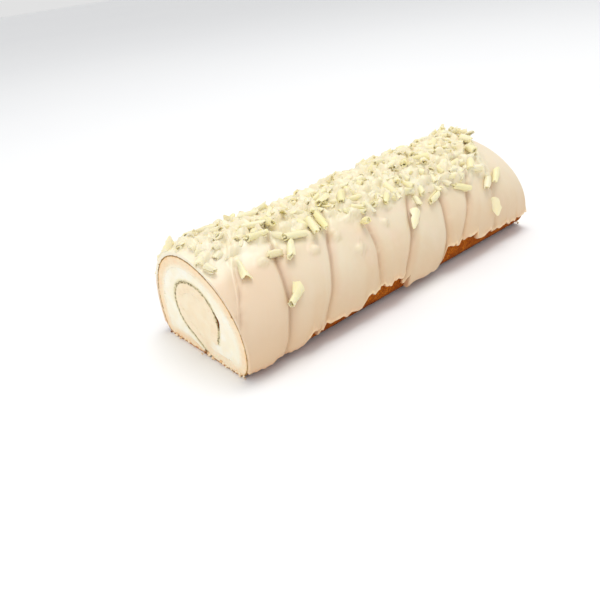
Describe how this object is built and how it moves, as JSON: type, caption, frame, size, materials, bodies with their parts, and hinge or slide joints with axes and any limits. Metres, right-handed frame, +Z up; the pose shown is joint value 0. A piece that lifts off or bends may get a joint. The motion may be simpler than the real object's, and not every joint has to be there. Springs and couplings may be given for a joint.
{
  "type": "swiss roll cake",
  "caption": "Whole rolled sponge cake: a spiral sponge sheet round pale cream, coated in white chocolate icing and strewn with white chocolate curls, cut off at both ends.",
  "frame": {"origin": "middle of the flat base that the roll rests on, half way between the two cut ends", "axes": "+X along the roll, -X towards the cut end that the picture shows, -Y towards the iced side that the picture shows, +Z up"},
  "size_m": [0.2434, 0.0976, 0.0689],
  "materials": {
    "sponge": "matte, fine crumb with a thin golden-brown skin",
    "cream": "smooth matte to satin",
    "icing": "satin set chocolate, with soft bands"
  },
  "bodies": {
    "root": {"sponge": "sponge", "cream_filling": "cream", "icing": "icing"}
  },
  "joints": []
}
